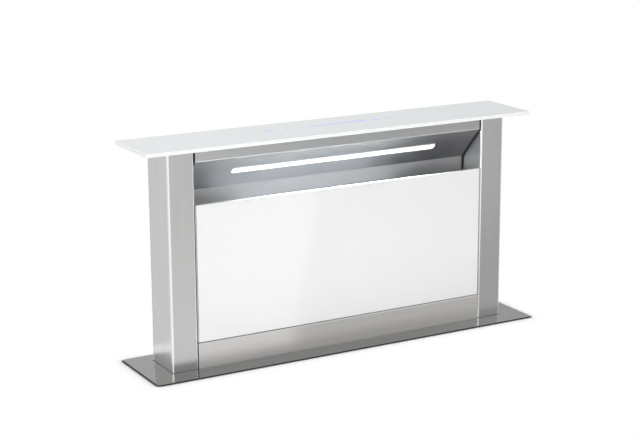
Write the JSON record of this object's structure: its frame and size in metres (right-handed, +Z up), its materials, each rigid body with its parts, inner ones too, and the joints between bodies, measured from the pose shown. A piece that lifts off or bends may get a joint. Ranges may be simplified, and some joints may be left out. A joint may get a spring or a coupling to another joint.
{
  "type": "downdraft vent",
  "caption": "Worktop downdraft extractor: a glass-lidded tower with a lit intake slot rises from a flange over a slim casing with lift drive, blower and outlet collar.",
  "frame": {"origin": "middle of the tower opening, on the face of the worktop, where the underside of the flange lies", "axes": "+X to the right along the width as the cook sees it, -Y towards the cook, +Z up"},
  "size_m": [0.598, 0.317, 1.005],
  "materials": {
    "brushed_stainless": "stainless sheet, fine vertical or lengthwise brushing",
    "white_glass": "toughened glass, painted white on the back, polished edges",
    "galvanised_steel": "zinc-coated sheet, dull with a faint spangle",
    "aluminium": "satin, mill finish",
    "filter_mesh": "layers of expanded aluminium mesh",
    "screw_steel": "turned and rolled steel, bright",
    "bronze": "turned bearing bronze",
    "nylon": "moulded nylon, satin",
    "black_plastic": "moulded plastic, satin black",
    "grey_plastic": "moulded plastic, satin grey",
    "rubber": "matt black rubber",
    "opal_diffuser": "opal diffuser, lit",
    "circuit_board": "solder-masked board"
  },
  "bodies": {
    "casing": {"worktop_flange": "brushed_stainless", "tower_wiper": "rubber", "casing_front": "galvanised_steel", "casing_rear": "galvanised_steel", "casing_left": "galvanised_steel", "casing_right": "galvanised_steel", "casing_floor": "galvanised_steel", "guide_rail_left": "aluminium", "guide_rail_right": "aluminium", "screw_bearing_left": "galvanised_steel", "screw_bearing_right": "galvanised_steel", "drive_tray": "galvanised_steel", "drive_belt": "rubber", "lift_gearbox": "grey_plastic", "lift_motor": "screw_steel", "blower_housing": "galvanised_steel", "blower_cover": "galvanised_steel", "inlet_ring": "black_plastic", "scroll_wall": "galvanised_steel", "fan_motor": "screw_steel", "outlet_collar": "black_plastic", "control_box": "grey_plastic", "control_cover": "grey_plastic", "mains_gland": "black_plastic", "support_leg_left": "galvanised_steel", "support_leg_right": "galvanised_steel"},
    "tower": {"left_post": "brushed_stainless", "right_post": "brushed_stainless", "left_side_cover": "brushed_stainless", "right_side_cover": "brushed_stainless", "post_foot_left": "galvanised_steel", "post_foot_right": "galvanised_steel", "lift_nut_left": "bronze", "lift_nut_right": "bronze", "guide_shoe_left": "nylon", "guide_shoe_right": "nylon", "rear_panel": "brushed_stainless", "cross_bar": "galvanised_steel", "kick_panel": "brushed_stainless", "top_plate": "galvanised_steel", "touch_board": "circuit_board", "lid_glass": "white_glass", "intake_liner": "brushed_stainless", "led_diffuser": "opal_diffuser", "led_board": "circuit_board", "filter_ledge": "brushed_stainless", "filter_frame_left": "aluminium", "filter_frame_right": "aluminium", "filter_mesh_left": "filter_mesh", "filter_mesh_right": "filter_mesh"},
    "front_panel": {"glass_panel": "white_glass", "panel_carrier": "galvanised_steel"},
    "left_screw": {"lift_screw_left": "screw_steel", "lift_pulley_left": "aluminium"},
    "right_screw": {"lift_screw_right": "screw_steel", "lift_pulley_right": "aluminium"},
    "fan_wheel": {"impeller": "black_plastic"},
    "front_flap": {"flap_front": "aluminium"},
    "rear_flap": {"flap_rear": "aluminium"}
  },
  "joints": [
    {"name": "tower_lift", "type": "slide", "parent": "casing", "child": "tower", "axis": [0, 0, 1], "range_m": [-0.298, 0]},
    {"name": "left_screw_turn", "type": "hinge", "parent": "casing", "child": "left_screw", "pos_m": [-0.2445, 0.0045, -0.3], "axis": [0, 0, 1], "range_deg": [-1, 5366]},
    {"name": "right_screw_turn", "type": "hinge", "parent": "casing", "child": "right_screw", "pos_m": [0.2445, 0.0045, -0.3], "axis": [0, 0, 1], "range_deg": [-1, 5366]},
    {"name": "panel_tilt", "type": "hinge", "parent": "tower", "child": "front_panel", "pos_m": [0, -0.0249, 0.045], "axis": [1, 0, 0], "range_deg": [0, 62]},
    {"name": "impeller_spin", "type": "hinge", "parent": "casing", "child": "fan_wheel", "pos_m": [0, -0.14, -0.48], "axis": [0, 1, 0], "continuous": true},
    {"name": "flap_front_swing", "type": "hinge", "parent": "casing", "child": "front_flap", "pos_m": [0.162, -0.14, -0.433], "axis": [0, 0, 1], "range_deg": [0, 75], "stiffness_Nm_per_rad": 0.02},
    {"name": "flap_rear_swing", "type": "hinge", "parent": "casing", "child": "rear_flap", "pos_m": [0.162, -0.14, -0.433], "axis": [0, 0, 1], "range_deg": [-75, 0], "stiffness_Nm_per_rad": 0.02}
  ],
  "couplings": [
    {"joint": "left_screw_turn", "follows": "tower_lift", "rad_per_m": -314.16},
    {"joint": "right_screw_turn", "follows": "tower_lift", "rad_per_m": -314.16}
  ]
}
